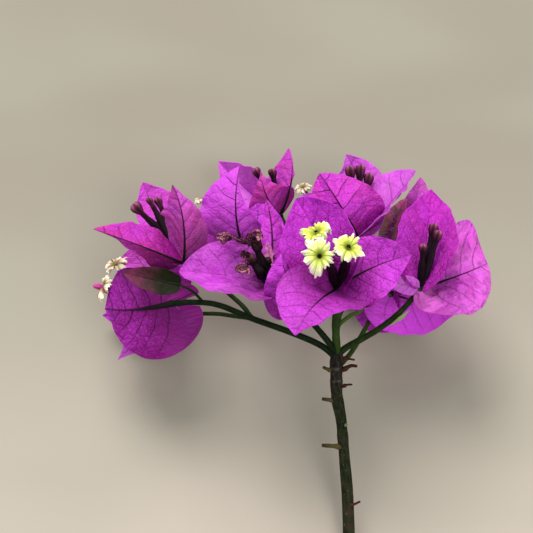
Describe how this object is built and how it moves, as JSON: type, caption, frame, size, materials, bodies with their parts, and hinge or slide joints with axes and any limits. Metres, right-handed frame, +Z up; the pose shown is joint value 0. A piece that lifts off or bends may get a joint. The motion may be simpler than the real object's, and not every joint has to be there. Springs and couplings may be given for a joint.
{
  "type": "bougainvillea sprig",
  "caption": "Cut tip of a bougainvillea branch lying on its back: papery magenta bracts round small cream flowers on thin dark stalks from one stem.",
  "frame": {"origin": "middle of the underside of the box round the sprig, on the surface that it lies on", "axes": "+Y from the cut end of the stem to the tips of the blooms, +Z up off the surface that the sprig lies on, +X to the right seen from the cut end and from above"},
  "size_m": [0.1358, 0.1462, 0.0809],
  "materials": {
    "bark": "dull green-brown young bark",
    "stalks": "satin dark green stalk",
    "bracts": "papery magenta bract with dark veins",
    "flowers": "waxy cream flower on a near-black purple tube",
    "leaf": "dull olive leaf"
  },
  "bodies": {
    "root": {"main_stem": "bark", "centre_stalk": "stalks", "right_stalk": "stalks", "left_stalk": "stalks", "centre_left_stalk": "stalks", "back_stalk": "stalks", "back_right_stalk": "stalks", "upper_left_pedicel": "stalks", "back_left_pedicel": "stalks", "withered_pedicel": "stalks", "inner_left_pedicel": "stalks", "back_top_pedicel": "stalks", "upper_right_pedicel": "stalks", "young_pedicel": "stalks", "upper_left_bloom": "bracts", "lower_left_bloom": "bracts", "back_left_bloom": "bracts", "inner_left_bloom": "bracts", "back_top_bloom": "bracts", "withered_bloom": "bracts", "centre_bloom": "bracts", "front_bloom": "bracts", "upper_right_bloom": "bracts", "right_bloom": "bracts", "lower_right_bloom": "bracts", "young_bloom": "bracts", "back_middle_bloom": "bracts", "small_leaf": "leaf"}
  },
  "joints": []
}
